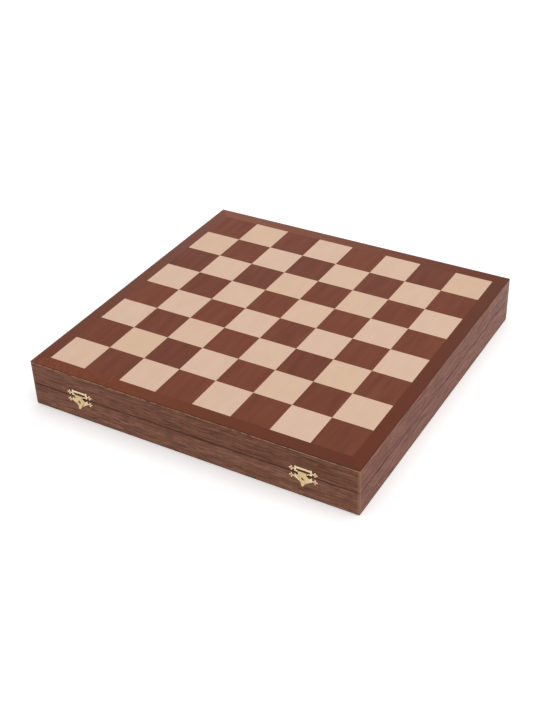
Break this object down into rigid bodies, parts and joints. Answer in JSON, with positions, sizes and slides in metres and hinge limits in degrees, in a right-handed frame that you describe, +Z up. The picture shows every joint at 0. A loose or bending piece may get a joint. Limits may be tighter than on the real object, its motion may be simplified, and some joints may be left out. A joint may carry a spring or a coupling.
{
  "type": "chess set",
  "caption": "Square hinged wooden case whose lid is a chessboard, with two brass hasp latches and the chessmen lying in flocked trays inside.",
  "frame": {"origin": "middle of the underside of the case", "axes": "+Z up out of the playing surface, +X to the right along the front with the latches, +Y to the back with the hinges"},
  "size_m": [0.348, 0.3553, 0.049],
  "materials": {
    "walnut_veneer": "satin",
    "mahogany_veneer": "satin",
    "maple_veneer": "satin",
    "plywood": "matte",
    "felt": "matte",
    "flocked_foam": "matte",
    "brass": "polished",
    "boxwood": "satin",
    "stained_boxwood": "satin"
  },
  "bodies": {
    "base": {"base_rail_front": "walnut_veneer", "base_rail_right": "walnut_veneer", "base_rail_back": "walnut_veneer", "base_rail_left": "walnut_veneer", "base_panel": "plywood", "white_tray": "flocked_foam", "black_tray": "flocked_foam", "catch_plate_left": "brass", "catch_plate_right": "brass", "catch_nails": "brass", "base_hinge_leaf_left": "brass", "base_hinge_leaf_right": "brass", "hinge_pin_left": "brass", "hinge_pin_right": "brass", "base_hinge_screws": "brass", "white_pawns": "boxwood", "white_rooks": "boxwood", "white_knights": "boxwood", "white_bishops": "boxwood", "white_queen": "boxwood", "white_king": "boxwood", "black_pawns": "stained_boxwood", "black_rooks": "stained_boxwood", "black_knights": "stained_boxwood", "black_bishops": "stained_boxwood", "black_queen": "stained_boxwood", "black_king": "stained_boxwood"},
    "lid": {"lid_rail_front": "walnut_veneer", "lid_rail_right": "walnut_veneer", "lid_rail_back": "walnut_veneer", "lid_rail_left": "walnut_veneer", "lid_panel": "plywood", "lid_pad": "felt", "border_strip_front": "mahogany_veneer", "border_strip_right": "mahogany_veneer", "border_strip_back": "mahogany_veneer", "border_strip_left": "mahogany_veneer", "light_squares": "maple_veneer", "dark_squares": "mahogany_veneer", "lid_hinge_leaf_left": "brass", "lid_hinge_leaf_right": "brass", "lid_hinge_screws": "brass", "hasp_plate_left": "brass", "hasp_plate_right": "brass", "hasp_nails": "brass"},
    "flap_left": {"latch_flap_left": "brass"},
    "flap_right": {"latch_flap_right": "brass"}
  },
  "joints": [
    {"name": "lid_hinge", "type": "hinge", "parent": "base", "child": "lid", "pos_m": [0, 0.1763, 0.0245], "axis": [-1, 0, 0], "range_deg": [0, 180]},
    {"name": "left_latch", "type": "hinge", "parent": "lid", "child": "flap_left", "pos_m": [-0.118, -0.17545, 0.0268], "axis": [-1, 0, 0], "range_deg": [0, 165]},
    {"name": "right_latch", "type": "hinge", "parent": "lid", "child": "flap_right", "pos_m": [0.1205, -0.17545, 0.0268], "axis": [-1, 0, 0], "range_deg": [0, 165]}
  ]
}
